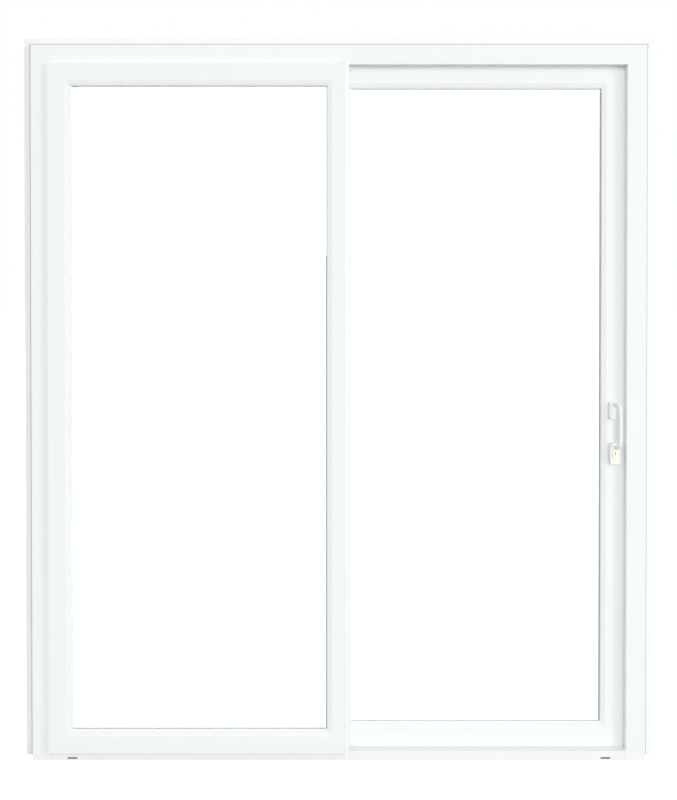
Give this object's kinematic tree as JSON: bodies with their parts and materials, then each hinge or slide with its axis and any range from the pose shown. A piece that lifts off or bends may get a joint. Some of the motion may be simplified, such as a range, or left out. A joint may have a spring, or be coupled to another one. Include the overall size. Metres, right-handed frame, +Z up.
{
  "type": "sliding patio door",
  "caption": "White vinyl patio door with a fixed glazed panel and a glazed panel that rolls sideways behind it, with a pull handle, key cylinder and nailing fins.",
  "frame": {"origin": "middle of the sill's flat underside, halfway through the frame's depth", "axes": "+X to the right as seen from outside, +Y from outside towards the room, +Z up"},
  "size_m": [1.876, 0.1453, 2.144],
  "materials": {
    "vinyl": "smooth satin white vinyl",
    "glass": "clear float glass",
    "spacer": "matt spacer bar with dark edge seal",
    "rail_metal": "satin anodised rail",
    "steel": "zinc plated steel",
    "white_coat": "white powder coat",
    "brass": "satin brass"
  },
  "bodies": {
    "frame": {"left_jamb": "vinyl", "right_jamb": "vinyl", "head": "vinyl", "sill": "vinyl", "sill_rail": "rail_metal", "nail_fin_left": "vinyl", "nail_fin_right": "vinyl", "nail_fin_head": "vinyl", "fixed_left_stile": "vinyl", "fixed_meeting_stile": "vinyl", "fixed_top_rail": "vinyl", "fixed_bottom_rail": "vinyl", "fixed_glass_outer": "glass", "fixed_glass_spacer": "spacer", "fixed_glass_inner": "glass", "fixed_bead_left": "vinyl", "fixed_bead_right": "vinyl", "fixed_bead_top": "vinyl", "fixed_bead_bottom": "vinyl", "fixed_interlock": "vinyl", "fixed_panel_clips": "steel", "lock_keeper": "steel"},
    "sliding_panel": {"slider_meeting_stile": "vinyl", "slider_top_rail": "vinyl", "slider_bottom_rail": "vinyl", "slider_glass_outer": "glass", "slider_glass_spacer": "spacer", "slider_glass_inner": "glass", "slider_bead_left": "vinyl", "slider_bead_right": "vinyl", "slider_bead_top": "vinyl", "slider_bead_bottom": "vinyl", "slider_interlock": "vinyl", "roller_carriers": "steel", "roller_wheels": "steel", "lock_stile": "vinyl", "latch_case": "steel", "latch_hook": "steel", "outside_handle": "white_coat", "key_cylinder": "brass", "inside_plate": "white_coat", "inside_handle": "white_coat", "thumb_lever": "white_coat"},
    "key_plug": {"key_plug": "brass"}
  },
  "joints": [
    {"name": "panel_slide", "type": "slide", "parent": "frame", "child": "sliding_panel", "axis": [-1, 0, 0], "range_m": [0, 0.768]},
    {"name": "key_turn", "type": "hinge", "parent": "sliding_panel", "child": "key_plug", "pos_m": [0.8195, -0.06, 0.91], "axis": [0, -1, 0], "range_deg": [-90, 90]}
  ]
}
